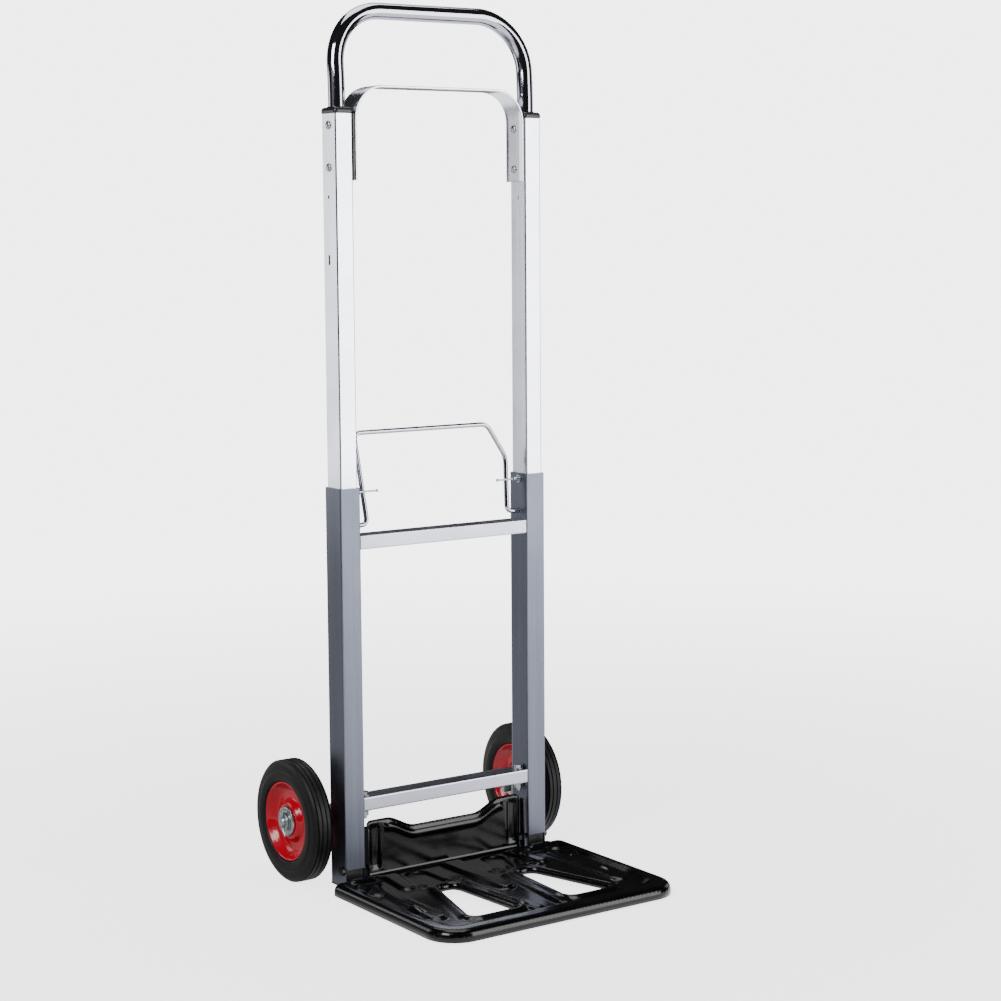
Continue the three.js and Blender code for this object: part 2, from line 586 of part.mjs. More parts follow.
function bailPath() {
  const inPlane = ([x, h]) =>
    new THREE.Vector3(x, BAIL_Y + h * Math.sin(BAIL_LEAN), BAIL_Z + h * Math.cos(BAIL_LEAN));
  const corners = BAIL_CORNERS.map(inPlane);
  const path = new THREE.CurvePath();
  let from = corners[0];
  for (let i = 1; i < corners.length - 1; i++) {
    const here = corners[i];
    const enter = here.clone().add(from.clone().sub(here).setLength(BAIL_FILLET));
    const leave = here.clone().add(corners[i + 1].clone().sub(here).setLength(BAIL_FILLET));
    path.add(new THREE.LineCurve3(from, enter));
    path.add(new THREE.QuadraticBezierCurve3(enter, here, leave));
    from = leave;
  }
  path.add(new THREE.LineCurve3(from, corners[corners.length - 1]));
  return path;
}

function releaseBail() {
  const section = circle(new THREE.Shape(), BAIL_WIRE);
  return closed(new THREE.ExtrudeGeometry(section, { steps: 60, curveSegments: 4, extrudePath: bailPath() }));
}

function latchPin(side) {
  const stem = rodX(side * 90, side * (RAIL_INNER_X + 1.2), LATCH_Y, LATCH_Z, 1.25, 12);
  const knob = new THREE.SphereGeometry(2, 10, 8).translate(side * 90, LATCH_Y, LATCH_Z);
  return unite([stem, knob]);
}

// ---------- assembly ----------
const boltHoleRadius = TAB_BOLT.radius + GAP;
const boltHoles = [-1, 1].map((side) =>
  rodZ(side * TAB_BOLT.x, TAB_BOLT.y, LOWER_CROSSBAR_Z - 5, LOWER_CROSSBAR_Z + 25, boltHoleRadius, 12));
add('lower_crossbar', crossbar(LOWER_CROSSBAR_Z, boltHoles), satinAluminium());
add('upper_crossbar', crossbar(UPPER_CROSSBAR_Z, []), satinAluminium());
add('toe_plate', toePlate(), blackEnamel());
add('handle_loop', handleLoop(), chrome());
add('brace_strap', braceStrap(), satinAluminium());
add('release_bail', releaseBail(), chrome());

for (const [label, side] of [['left', -1], ['right', 1]]) {
  const railPlace = [side * RAIL_X, RAIL_Y, 0];
  const wheelPlace = [side * WHEEL_X, WHEEL_Y, AXLE_Z];
  const boltX = side * TAB_BOLT.x;
  const boltTop = LOWER_CROSSBAR_Z + CROSSBAR.height + 1.2 + GAP;
  const nutTop = LOWER_CROSSBAR_Z - 2.2 - 2 * GAP;

  add(`lower_rail_${label}`, lowerRail(side), satinAluminium(), railPlace);
  add(`rail_foot_${label}`, railFoot(), blackPlastic(), railPlace);
  add(`toe_hinge_bolt_${label}`, hingeBolt(side), zinc());
  add(`toe_hinge_nut_${label}`, hingeNut(side), zinc());
  add(`pivot_bracket_${label}`, pivotBracket(side), zinc());
  const bolt = hexBolt(boltX, TAB_BOLT.y, boltTop, 30, TAB_BOLT.radius);
  add(`bracket_bolt_${label}`, bolt, zinc());
  add(`bracket_nut_${label}`, hexNut(boltX, TAB_BOLT.y, nutTop - 5, TAB_BOLT.radius), zinc());
  add(`swing_pin_${label}`, swingPin(side), zinc());
  add(`latch_guide_${label}`, latchGuide(side), zinc());

  add(`swing_bracket_${label}`, swingBracket(side), zinc());
  add(`axle_${label}`, axle(side), zinc());
  add(`axle_nut_${label}`, axleNut(side), zinc());
  add(`axle_washer_${label}`, axleWasher(side), zinc());
  add(`cotter_pin_${label}`, cotterPin(side), zinc());

  add(`tyre_${label}`, tyre(side), blackRubber(), wheelPlace);
  add(`rim_outer_${label}`, rimHalf(side, 1), redPaint(), wheelPlace);
  add(`rim_inner_${label}`, rimHalf(side, -1), redPaint(), wheelPlace);
  add(`hub_${label}`, hub(side), zinc(), wheelPlace);

  add(`sliding_tube_${label}`, slidingTube(side), brightAluminium(), railPlace);
  add(`slide_block_${label}`, slideBlock(), blackPlastic(), railPlace);
  add(`tube_cap_${label}`, tubeCap(), blackPlastic(), railPlace);
  add(`strap_spacer_${label}`, strapSpacer(side), blackPlastic());
  add(`strap_rivet_lower_${label}`, strapRivet(side, STRAP_RIVET_HEIGHTS[0]), zinc());
  add(`strap_rivet_upper_${label}`, strapRivet(side, STRAP_RIVET_HEIGHTS[1]), zinc());

  add(`latch_pin_${label}`, latchPin(side), zinc());
}

export default truck;
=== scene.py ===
"""Looks of the folding hand truck. Lengths in the helpers are millimetres unless a name says otherwise."""

import math

import bmesh
import bpy
import numpy as np
from mathutils import Matrix, Vector
from mathutils.geometry import delaunay_2d_cdt

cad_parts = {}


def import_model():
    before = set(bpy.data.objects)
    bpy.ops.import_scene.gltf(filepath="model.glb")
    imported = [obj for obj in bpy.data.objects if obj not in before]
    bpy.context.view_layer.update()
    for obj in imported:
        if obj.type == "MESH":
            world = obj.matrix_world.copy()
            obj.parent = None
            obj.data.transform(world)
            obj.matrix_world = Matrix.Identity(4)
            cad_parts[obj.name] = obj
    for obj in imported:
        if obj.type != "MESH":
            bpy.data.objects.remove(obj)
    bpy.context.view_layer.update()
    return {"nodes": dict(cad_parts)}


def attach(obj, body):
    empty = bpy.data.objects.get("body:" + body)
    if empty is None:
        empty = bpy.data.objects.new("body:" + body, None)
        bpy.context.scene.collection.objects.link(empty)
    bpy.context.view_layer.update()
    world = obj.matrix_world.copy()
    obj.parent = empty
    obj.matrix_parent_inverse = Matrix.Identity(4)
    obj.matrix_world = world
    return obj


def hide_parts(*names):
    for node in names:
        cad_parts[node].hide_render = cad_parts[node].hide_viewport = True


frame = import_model()
MM = 0.001

# ---------- dimensions shared with the CAD part ----------
RAIL_X, RAIL_FRONT, RAIL_Y = 138.0, 46.5, 64.5
WHEEL_X, WHEEL_Y, WHEEL_Z = 175.0, 132.5, 77.0
TUBE_TOP, TUBE_HALF_X, TUBE_HALF_Y = 948.5, 11.75, 15.75
TOTAL_HEIGHT = 1083.0
LOOP_RADIUS, LOOP_BEND, LOOP_BOTTOM = 10.25, 66.0, 869.0
LOOP_SWEEP, LOOP_SWEEP_START = 11.0, 963.0
STRAP_OUTER_X, STRAP_THICK, STRAP_FRONT, STRAP_DEPTH = 123.45, 3.0, 47.0, 35.0
STRAP_BOTTOM, STRAP_TOP, STRAP_BEND = 869.5, 983.0, 40.0
RIVET_HEIGHTS = (("lower", 885), ("upper", 935))
TOE_HALF, TOE_FRONT, TOE_REAR = 175.0, -209.5, 45.5
FLANGE_Y, FLANGE_HALF, FLANGE_TOP, FLANGE_DIP = 55.5, 116.0, 82.0, 67.0
CUTOUT_REAR, CUTOUT_FRONT = RAIL_FRONT - 82, RAIL_FRONT - 206
PIN_OUT = 17.5                           # cotter pin, outboard of the wheel's middle plane
BAIL_Z, BAIL_BEHIND, BAIL_LEAN = 452, 16.25, 7.3
SIDES = (("left", -1), ("right", 1))

# ---------- dimensions that only the visible skins have ----------
LOOP_SKIN_GAP = 0.1                      # keeps the rounder visible loop inside the CAD box
SHEET, SKIRT_FLOOR, CUTOUT_LIP = 1.6, 2.0, 5.4
RELIEF_KNEE, RELIEF_ROOM, RELIEF_SOFTNESS = 6.0, 1.6, 2.4


# ---------- node materials ----------
class Shader:
    """A node material that takes its patterns from the piece's own coordinates."""

    def __init__(self, name):
        self.material = bpy.data.materials.new(name)
        self.material.use_nodes = True
        self.tree = self.material.node_tree
        self.bsdf = self.tree.nodes["Principled BSDF"]
        self.coords = self.node("ShaderNodeTexCoord").outputs["Object"]

    def node(self, kind, **settings):
        n = self.tree.nodes.new(kind)
        for key, value in settings.items():
            setattr(n, key, value)
        return n

    def link(self, a, b):
        self.tree.links.new(a, b)

    def set(self, **values):
        for key, value in values.items():
            self.bsdf.inputs[key.replace("_", " ")].default_value = value
        return self

    def scaled(self, scale):
        n = self.node("ShaderNodeMapping")
        n.inputs["Scale"].default_value = scale
        self.link(self.coords, n.inputs["Vector"])
        return n.outputs["Vector"]

    def noise(self, scale, detail=4.0, roughness=0.55, stretch=(1, 1, 1)):
        n = self.node("ShaderNodeTexNoise")
        n.inputs["Scale"].default_value = scale
        n.inputs["Detail"].default_value = detail
        n.inputs["Roughness"].default_value = roughness
        self.link(self.scaled(stretch), n.inputs["Vector"])
        return n.outputs["Fac"]

    def cells(self, scale, stretch=(1, 1, 1)):
        n = self.node("ShaderNodeTexVoronoi")
        n.inputs["Scale"].default_value = scale
        self.link(self.scaled(stretch), n.inputs["Vector"])
        return n.outputs["Color"]

    def remap(self, source, low, high, a=0.0, b=1.0):
        n = self.node("ShaderNodeMapRange")
        for key, value in (("From Min", a), ("From Max", b), ("To Min", low), ("To Max", high)):
            n.inputs[key].default_value = value
        self.link(source, n.inputs["Value"])
        return n.outputs["Result"]

    def math(self, operation, a, b):
        n = self.node("ShaderNodeMath", operation=operation)
        for socket, value in ((n.inputs[0], a), (n.inputs[1], b)):
            if isinstance(value, (int, float)):
                socket.default_value = value
            else:
                self.link(value, socket)
        return n.outputs[0]

    def mix(self, factor, dark, light):
        n = self.node("ShaderNodeMix", data_type="RGBA")
        self.link(factor, n.inputs["Factor"])
        for socket, value in ((n.inputs[6], dark), (n.inputs[7], light)):
            if isinstance(value, tuple):
                socket.default_value = (*value, 1)
            else:
                self.link(value, socket)
        return n.outputs[2]

    def colour(self, source):
        self.link(source, self.bsdf.inputs["Base Color"])

    def rough(self, source):
        self.link(source, self.bsdf.inputs["Roughness"])

    def bump(self, height, strength, distance, normal=None):
        n = self.node("ShaderNodeBump")
        n.inputs["Strength"].default_value = strength
        n.inputs["Distance"].default_value = distance
        self.link(height, n.inputs["Height"])
        if normal is not None:
            self.link(normal, n.inputs["Normal"])
        return n.outputs["Normal"]

    def normal(self, source):
        self.link(source, self.bsdf.inputs["Normal"])

    def edges(self, radius):
        """1 on outer edges, 0 on open faces; the red paint uses it to lay a painted highlight along the
        edges.
        """
        bevel = self.node("ShaderNodeBevel", samples=4)
        bevel.inputs["Radius"].default_value = radius
        geometry = self.node("ShaderNodeNewGeometry")
        dot = self.node("ShaderNodeVectorMath", operation="DOT_PRODUCT")
        self.link(bevel.outputs["Normal"], dot.inputs[0])
        self.link(geometry.outputs["Normal"], dot.inputs[1])
        return self.remap(dot.outputs["Value"], 1.0, 0.0, 0.75, 0.995)


def brushed(name, dark, light, rough, along, metallic=1.0):
    """Drawn aluminium: fine lines along one axis, soft stains and a little handling wear."""
    s = Shader(name).set(Metallic=metallic, Specular_IOR_Level=0.5)
    stretch = [1.0, 1.0, 1.0]
    stretch["XYZ".index(along)] = 0.012
    lines = s.noise(900, 3, 0.6, stretch)
    broad = s.noise(160, 2, 0.5, stretch)
    stains = s.noise(14, 5, 0.6)
    blend = s.math("ADD", s.math("MULTIPLY", lines, 0.5), s.math("MULTIPLY", broad, 0.5))
    s.colour(s.mix(s.remap(blend, 0, 1, 0.3, 0.7), dark, light))
    wear = s.math("ADD", s.remap(blend, -0.035, 0.035, 0.3, 0.7), s.remap(stains, -0.03, 0.05, 0.35, 0.7))
    s.rough(s.math("ADD", wear, rough))
    s.normal(s.bump(lines, 0.10, 0.00006))
    return s.material


def mirror_chrome(name):
    s = Shader(name).set(Metallic=1.0)
    smudge = s.noise(26, 6, 0.65)
    # Both tones are kept dark: a painted shade standing in for the dark surroundings that the chrome
    # reflects. The smudge only varies the tone between them.
    s.colour(s.mix(smudge, (0.36, 0.365, 0.42), (0.46, 0.465, 0.53)))
    specks = s.noise(900, 2, 0.5)
    s.rough(s.math("ADD", s.remap(smudge, 0.06, 0.13, 0.4, 0.75), s.remap(specks, 0, 0.02, 0.6, 0.8)))
    s.normal(s.bump(s.noise(60, 2, 0.5), 0.04, 0.00008))
    return s.material


def zinc_plate(name, depth=1.0):
    """Blue-white zinc plating with faint spangles; a lower depth darkens it."""
    s = Shader(name).set(Metallic=1.0)
    spangle = s.cells(420)
    clouds = s.noise(70, 5, 0.6)
    tones = [tuple(depth * c for c in tone)
             for tone in ((0.30, 0.34, 0.36), (0.50, 0.55, 0.58), (0.56, 0.57, 0.54))]
    tint = s.mix(clouds, tones[0], tones[1])
    s.colour(s.mix(s.remap(spangle, 0.0, 0.35), tint, tones[2]))
    s.rough(s.remap(clouds, 0.20, 0.42, 0.3, 0.7))
    s.normal(s.bump(s.noise(500, 3, 0.6), 0.15, 0.0001))
    return s.material


def enamel(name):
    """Thick black gloss enamel with a faint orange peel and settled dust."""
    s = Shader(name).set(Metallic=0.0, Specular_IOR_Level=0.30, Coat_Weight=0.10, Coat_Roughness=0.08)
    dust = s.noise(48, 6, 0.65)
    fine = s.noise(700, 3, 0.6)
    s.colour(s.mix(s.remap(dust, 0, 1, 0.45, 0.8), (0.0015, 0.0015, 0.002), (0.004, 0.004, 0.005)))
    s.rough(s.math("ADD", s.remap(dust, 0.15, 0.25, 0.4, 0.8), s.remap(fine, 0, 0.03, 0.5, 0.8)))
    peel = s.bump(s.noise(130, 2, 0.5), 0.05, 0.0004)
    s.normal(s.bump(s.noise(22, 3, 0.5), 0.04, 0.0008, peel))
    return s.material


def plastic(name, tone, rough):
    s = Shader(name).set(Metallic=0.0, Specular_IOR_Level=0.5)
    cloud = s.noise(60, 5, 0.6)
    s.colour(s.mix(cloud, tuple(0.7 * c for c in tone), tuple(1.35 * c for c in tone)))
    s.rough(s.remap(cloud, rough - 0.07, rough + 0.10, 0.3, 0.7))
    s.normal(s.bump(s.noise(1500, 2, 0.5), 0.12, 0.0001))
    return s.material


def rubber(name):
    s = Shader(name).set(Metallic=0.0, Specular_IOR_Level=0.22)
    dust = s.noise(30, 7, 0.7)
    grain = s.noise(1100, 3, 0.6)
    s.colour(s.mix(s.remap(dust, 0, 1, 0.35, 0.75), (0.003, 0.003, 0.0035), (0.012, 0.012, 0.013)))
    s.rough(s.math("ADD", s.remap(dust, 0.34, 0.55, 0.3, 0.75), s.remap(grain, 0, 0.06, 0.4, 0.7)))
    s.normal(s.bump(grain, 0.18, 0.00018))
    return s.material


def red_enamel(name):
    s = Shader(name).set(Metallic=0.0, Specular_IOR_Level=0.35, Coat_Weight=0.2, Coat_Roughness=0.04)
    cloud = s.noise(40, 6, 0.6)
    body = s.mix(cloud, (0.38, 0.0002, 0.010), (0.50, 0.0008, 0.018))
    # Painted highlight: the outer edges are painted a lighter, redder tone, as if catching the light.
    s.colour(s.mix(s.edges(0.0008), body, (0.60, 0.02, 0.045)))
    s.rough(s.remap(cloud, 0.14, 0.26, 0.3, 0.7))
    s.normal(s.bump(s.noise(240, 2, 0.5), 0.05, 0.0003))
    return s.material


MATERIALS = {
    "satin_z": brushed("satin_aluminium_upright", (0.120, 0.130, 0.165), (0.160, 0.172, 0.215), 0.33, "Z"),
    "satin_x": brushed("satin_aluminium_cross", (0.40, 0.415, 0.49), (0.50, 0.515, 0.60), 0.28, "X"),
    "bright_z": brushed("bright_aluminium", (0.78, 0.80, 0.90), (0.87, 0.89, 0.98), 0.22, "Z"),
    "strap": brushed("strap_aluminium", (0.70, 0.71, 0.80), (0.80, 0.81, 0.90), 0.22, "Z"),
    "chrome": mirror_chrome("chrome"),
    "zinc": zinc_plate("zinc"),
    "oxide": zinc_plate("blackened_steel", 0.12),
    "enamel": enamel("black_enamel"),
    "plastic": plastic("black_plastic", (0.012, 0.012, 0.014), 0.30),
    "rubber": rubber("black_rubber"),
    "red": red_enamel("red_paint"),
}


# ---------- mesh helpers ----------
def smooth(mesh, degrees=35):
    mesh.shade_smooth()
    mesh.set_sharp_from_angle(angle=math.radians(degrees))


def add_object(name, data):
    obj = bpy.data.objects.new(name, data)
    bpy.context.scene.collection.objects.link(obj)
    return obj


def piece(name, verts, faces, material, body, slot, nodes=(), degrees=35):
    """A new mesh piece, given in millimetres, riding on a CAD body and standing for CAD nodes."""
    mesh = bpy.data.meshes.new(name)
    mesh.from_pydata([tuple(c * MM for c in v) for v in verts], [], faces)
    bm = bmesh.new()
    bm.from_mesh(mesh)
    bmesh.ops.remove_doubles(bm, verts=bm.verts, dist=1e-7)
    bmesh.ops.recalc_face_normals(bm, faces=bm.faces)
    bm.to_mesh(mesh)
    bm.free()
    smooth(mesh, degrees)
    mesh.materials.append(MATERIALS[material])
    obj = add_object(name, mesh)
    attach(obj, body)
    if nodes:
        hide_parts(*nodes)
    return obj


def join_rings(rings, closed_ends=True, loop=False):
    """Quads between rings of equally many points; each end gets one face, or the rings form a loop."""
    count = len(rings[0])
    verts = [p for r in rings for p in r]
    faces = []
    total = len(rings)
    for i in range(total if loop else total - 1):
        a, b = i * count, ((i + 1) % total) * count
        for j in range(count):
            k = (j + 1) % count
            faces.append((a + j, a + k, b + k, b + j))
    if closed_ends and not loop:
        faces.append(tuple(range(count)))
        faces.append(tuple(reversed(range((total - 1) * count, total * count))))
    return verts, faces


def lathe_x(profile, x, y, z, direction, segments=96):
    """Revolves a closed [radius, outboard] profile about a line along X."""
    rings = []
    for radius, out in profile:
        rings.append([(x + direction * out, y + radius * math.cos(t), z + radius * math.sin(t))
                      for t in (2 * math.pi * i / segments for i in range(segments))])
    return join_rings(rings, loop=True)


def rounded(points, radius, steps=4):
    """A polyline with its inner corners rounded."""
    out = [Vector(points[0])]
    for before, here, after in zip(points, points[1:], points[2:]):
        a, p, b = Vector(before), Vector(here), Vector(after)
        r = min(radius, 0.49 * (a - p).length, 0.49 * (b - p).length)
        enter, leave = p + (a - p).normalized() * r, p + (b - p).normalized() * r
        for i in range(steps + 1):
            t = i / steps
            out.append((1 - t) ** 2 * enter + 2 * t * (1 - t) * p + t * t * leave)
    out.append(Vector(points[-1]))
    return out


def sweep(points, radius, segments=16, widths=None):
    """A round bar along a path, with frames carried along it."""
    points = [Vector(p) for p in points]
    tangents = []
    for i in range(len(points)):
        a, b = points[max(i - 1, 0)], points[min(i + 1, len(points) - 1)]
        tangents.append((b - a).normalized())
    side = tangents[0].orthogonal().normalized()
    rings = []
    for i, (p, t) in enumerate(zip(points, tangents)):
        side = (side - side.dot(t) * t).normalized()
        other = t.cross(side)
        r = widths[i] if widths else radius
        rings.append([tuple(p + r * (math.cos(a) * side + math.sin(a) * other))
                      for a in (2 * math.pi * k / segments for k in range(segments))])
    return join_rings(rings)


def rounded_rectangle(half_x, half_y, radius, count=64):
    """Points at even turns round a rounded rectangle, so that rings of any size match."""
    out = []
    for i in range(count):
        a = 2 * math.pi * i / count
        c, s = math.cos(a), math.sin(a)
        px, py = half_x - radius, half_y - radius
        sx, sy = math.copysign(1, c), math.copysign(1, s)
        m = max(abs(c), abs(s))
        ux, uy = c / m * half_x, s / m * half_y
        if abs(ux) > px and abs(uy) > py:
            d = Vector((abs(ux) - px, abs(uy) - py))
            d = d.normalized() * radius if d.length > 1e-9 else d
            ux, uy = sx * (px + d.x), sy * (py + d.y)
        out.append((ux, uy))
    return out


# ---------- CAD pieces that stay, the small ones with eased edges ---
def dress(name, material, bevel=0.0, degrees=35):
    obj = frame["nodes"][name]
    obj.data.materials.clear()
    obj.data.materials.append(MATERIALS[material])
    smooth(obj.data, degrees)
    if bevel:
        m = obj.modifiers.new("eased edges", "BEVEL")
        m.width = bevel * MM
        m.segments = 3
        m.limit_method = "ANGLE"
        m.angle_limit = math.radians(40)
        m.harden_normals = True
    else:
        m = obj.modifiers.new("flat faces", "WEIGHTED_NORMAL")
        m.keep_sharp = True


dress("lower_crossbar", "satin_x")
dress("upper_crossbar", "satin_x")
for label, _ in SIDES:
    dress(f"lower_rail_{label}", "satin_z")
    dress(f"sliding_tube_{label}", "bright_z")
    for stem in ("rail_foot", "strap_spacer", "slide_block"):
        dress(f"{stem}_{label}", "plastic", 0.3)
    for stem in ("pivot_bracket", "bracket_bolt", "bracket_nut", "swing_pin", "swing_bracket", "axle_nut"):
        dress(f"{stem}_{label}", "zinc", 0.35)
    for stem in ("toe_hinge_bolt", "toe_hinge_nut"):
        dress(f"{stem}_{label}", "oxide", 0.35)
    for stem in ("latch_guide", "latch_pin"):
        dress(f"{stem}_{label}", "zinc", 0.2)


# ---------- wheels ----------
def tyre_profile():
    """Half of the section is mirrored; the tread carries four fine grooves."""
    half = [(50.35, 9.0), (50.35, 12.6), (51.2, 14.2), (53.5, 15.2), (61.6, 15.7), (62.6, 15.5), (63.4, 14.6),
            (64.6, 14.3), (69.0, 14.2), (71.6, 13.6), (74.0, 12.4), (75.6, 11.1), (76.4, 10.0)]
    for groove in (8.9, 3.3):
        half += [(76.85, groove + 0.85), (76.0, groove + 0.5), (74.9, groove), (76.0, groove - 0.5),
                 (76.95, groove - 0.9)]
    base = [(44.6, 3.4)]
    mirrored = [(r, -w) for r, w in reversed(half)]
    return base + half + [(77.0, 1.2), (77.0, -1.2)] + mirrored + [(44.6, -3.4)]


def rim_profile(face):
    """One half of the rim, with its raised boss; face is 1 for the outboard half, -1 for the inboard."""
    outer = [(12.6, 9.5), (21.5, 9.5), (23.2, 8.6), (26.4, 3.4), (28.2, 1.9), (36.5, 1.7), (38.6, 2.2),
             (41.2, 4.2), (44.6, 8.0), (46.6, 11.0), (47.6, 12.6), (48.6, 13.3), (49.5, 13.2), (50.0, 12.4)]
    inner = [(49.9, 11.2), (48.6, 10.6), (45.4, 6.6), (42.0, 2.4), (38.0, 0.3), (27.0, 0.3), (21.5, 7.9),
             (12.6, 7.9)]
    line = [(v.x, v.y) for v in rounded([(r, w, 0) for r, w in outer], 0.9, 3)]
    return [(r, face * w) for r, w in line + inner]


HUB = [(6.25, -10), (11.6, -10), (12, -9.6), (12, -2.4), (12, 10.0), (18.6, 10.0), (19, 10.4),
       (18.9, 11.7), (18.2, 12.8), (17.2, 13.3), (16.0, 13.4), (15.2, 13.0), (14.4, 12.1), (13.2, 11.8),
       (12.5, 12.0), (12.4, 13.9), (12.0, 14.2), (6.6, 14.2), (6.25, 13.9)]
AXLE = [(0.01, -30.5), (5.6, -30.5), (6, -30.1), (6, -19), (6, -18.7), (8.6, -18.7), (9, -18.3),
        (9, -10.7), (8.6, -10.3), (6, -10.3), (6, 18.6), (5.2, 19.7), (4.2, 20.0), (0.01, 20.0)]
WASHER = [(6.2, 14.5), (10.7, 14.5), (11, 14.8), (11, 15.6), (10.7, 15.9), (6.5, 15.9), (6.2, 15.6)]


def cotter_path(side):
    """The pin's eye and one spread leg, in the plane of the axle's hole."""
    x = side * (WHEEL_X + PIN_OUT)
    eye = []
    for i in range(1, 13):
        a = math.radians(-60 + 300 * i / 12)
        eye.append((x, WHEEL_Y + 2.7 * math.sin(a), WHEEL_Z + 11.6 - 2.7 * math.cos(a)))
    leg = [(x, WHEEL_Y - 0.2, WHEEL_Z + 8.2), (x, WHEEL_Y, WHEEL_Z + 4), (x, WHEEL_Y, WHEEL_Z - 6.5),
           (x, WHEEL_Y - 2.2, WHEEL_Z - 10.5), (x, WHEEL_Y - 7.0, WHEEL_Z - 17.0)]
    return eye + rounded(leg, 2.5, 4)


for label, side in SIDES:
    body = f"wheel_{label}"
    carrier = f"swing_bracket_{label}"
    at = (side * WHEEL_X, WHEEL_Y, WHEEL_Z, side)
    piece(f"tyre_skin_{label}", *lathe_x(tyre_profile(), *at, 128), "rubber", body, "black_rubber",
          [f"tyre_{label}"], 50)
    piece(f"rim_outer_skin_{label}", *lathe_x(rim_profile(1), *at, 128), "red", body, "red_paint",
          [f"rim_outer_{label}"])
    piece(f"rim_inner_skin_{label}", *lathe_x(rim_profile(-1), *at, 128), "red", body, "red_paint",
          [f"rim_inner_{label}"])
    piece(f"hub_skin_{label}", *lathe_x(HUB, *at), "zinc", body, "zinc", [f"hub_{label}"], 30)
    piece(f"axle_skin_{label}", *lathe_x(AXLE, *at, 64), "zinc", carrier, "zinc", [f"axle_{label}"], 30)
    piece(f"axle_washer_skin_{label}", *lathe_x(WASHER, *at, 64), "zinc", carrier, "zinc",
          [f"axle_washer_{label}"], 30)
    piece(f"cotter_pin_skin_{label}", *sweep(cotter_path(side), 1.05, 12), "zinc", carrier, "zinc",
          [f"cotter_pin_{label}"], 60)


# ---------- handle ----------
def loop_point(s):
    """The loop's centre line at distance s from the middle of its top."""
    top = TOTAL_HEIGHT - LOOP_RADIUS
    arc = LOOP_BEND * math.pi / 2
    flat = RAIL_X - LOOP_BEND
    d = abs(s)
    x, z = d, top
    if d > flat + arc:
        x, z = RAIL_X, top - LOOP_BEND - (d - flat - arc)
    elif d > flat:
        a = (d - flat) / LOOP_BEND
        x, z = flat + LOOP_BEND * math.sin(a), top - LOOP_BEND * (1 - math.cos(a))
    rise = max(0.0, z - LOOP_SWEEP_START) / (top - LOOP_SWEEP_START)
    return (math.copysign(x, s), RAIL_Y + LOOP_SWEEP * rise * rise, z)


loop_leg = TOTAL_HEIGHT - LOOP_RADIUS - LOOP_BEND - LOOP_BOTTOM
loop_half = loop_leg + LOOP_BEND * math.pi / 2 + RAIL_X - LOOP_BEND
loop_path = [loop_point(loop_half * (2 * i / 180 - 1)) for i in range(181)]
piece("handle_loop_skin", *sweep(loop_path, LOOP_RADIUS - LOOP_SKIN_GAP, 48), "chrome", "handle", "chrome",
      ["handle_loop"], 60)


def strap_mesh():
    """A flat bar with rounded long edges, bent into an arch."""
    middle = STRAP_OUTER_X - STRAP_THICK / 2
    bend = STRAP_BEND - STRAP_THICK / 2
    top = STRAP_TOP - STRAP_THICK / 2
    line = [((middle, STRAP_BOTTOM + d), (1, 0)) for d in (0.0, 0.6, 3.0, 30.0, 60.0)]
    for i in range(25):
        a = math.pi / 2 * i / 24
        out, up = math.cos(a), math.sin(a)
        line.append(((middle - bend + bend * out, top - bend + bend * up), (out, up)))
    right = [((x, z), (nx, nz)) for (x, z), (nx, nz) in line]
    left = [((-x, z), (-nx, nz)) for (x, z), (nx, nz) in reversed(line)]
    section = rounded_rectangle(STRAP_THICK / 2, STRAP_DEPTH / 2, 1.1, 48)
    rings = []
    route = right + left
    for i, ((x, z), (nx, nz)) in enumerate(route):
        shrink = 0.82 if i in (0, len(route) - 1) else 1.0
        rings.append([(x + nx * a * shrink, STRAP_FRONT + STRAP_DEPTH / 2 + b * (0.985 if shrink < 1 else 1),
                       z + nz * a * shrink) for a, b in section])
    return join_rings(rings)


piece("brace_strap_skin", *strap_mesh(), "strap", "handle", "satin_aluminium", ["brace_strap"], 45)


def cap_mesh(side):
    """A moulded end cap: a rolled lip over the tube and a round collar for the loop."""
    count = 64
    low = TUBE_TOP + 0.3
    outer = [(low, 0.9, 3.2), (low + 0.5, 1.25, 3.4), (low + 3.2, 1.3, 3.4), (low + 5.2, 0.9, 3.4),
             (low + 6.6, -0.1, 3.2), (low + 7.0, -1.2, 3.0)]
    rings = []
    for z, grow, radius in outer:
        rings.append([(side * RAIL_X + x, RAIL_Y + y, z)
                      for x, y in rounded_rectangle(TUBE_HALF_X + grow, TUBE_HALF_Y + grow, radius, count)])
    collar = [(low + 7.2, 11.7), (low + 7.9, 11.4), (low + 8.0, 10.9), (low + 7.6, 10.55), (low, 10.55)]
    for z, radius in collar:
        rings.append([(side * RAIL_X + radius * math.cos(2 * math.pi * i / count),
                       RAIL_Y + radius * math.sin(2 * math.pi * i / count), z) for i in range(count)])
    return join_rings(rings, loop=True)


def rivet_mesh(side, z):
    """Both heads and the shank as one turned piece."""
    outer = RAIL_X + TUBE_HALF_X + 0.3
    inner = STRAP_OUTER_X - STRAP_THICK - 0.3
    dome = [(5.0, 0.0), (4.95, 0.6), (4.5, 1.35), (3.6, 1.95), (2.3, 2.4), (1.0, 2.58), (0.01, 2.6)]
    profile = [(0.01, inner - 2.6)] + [(r, inner - h) for r, h in reversed(dome[:-1])]
    profile += [(2.5, inner), (2.5, outer)] + [(r, outer + h) for r, h in dome]
    return lathe_x(profile, 0, RAIL_Y, z, side, 40)


for label, side in SIDES:
    piece(f"tube_cap_skin_{label}", *cap_mesh(side), "plastic", "handle", "black_plastic",
          [f"tube_cap_{label}"], 40)
    for where, z in RIVET_HEIGHTS:
        piece(f"strap_rivet_{where}_skin_{label}", *rivet_mesh(side, z), "zinc", "handle", "zinc",
              [f"strap_rivet_{where}_{label}"], 40)


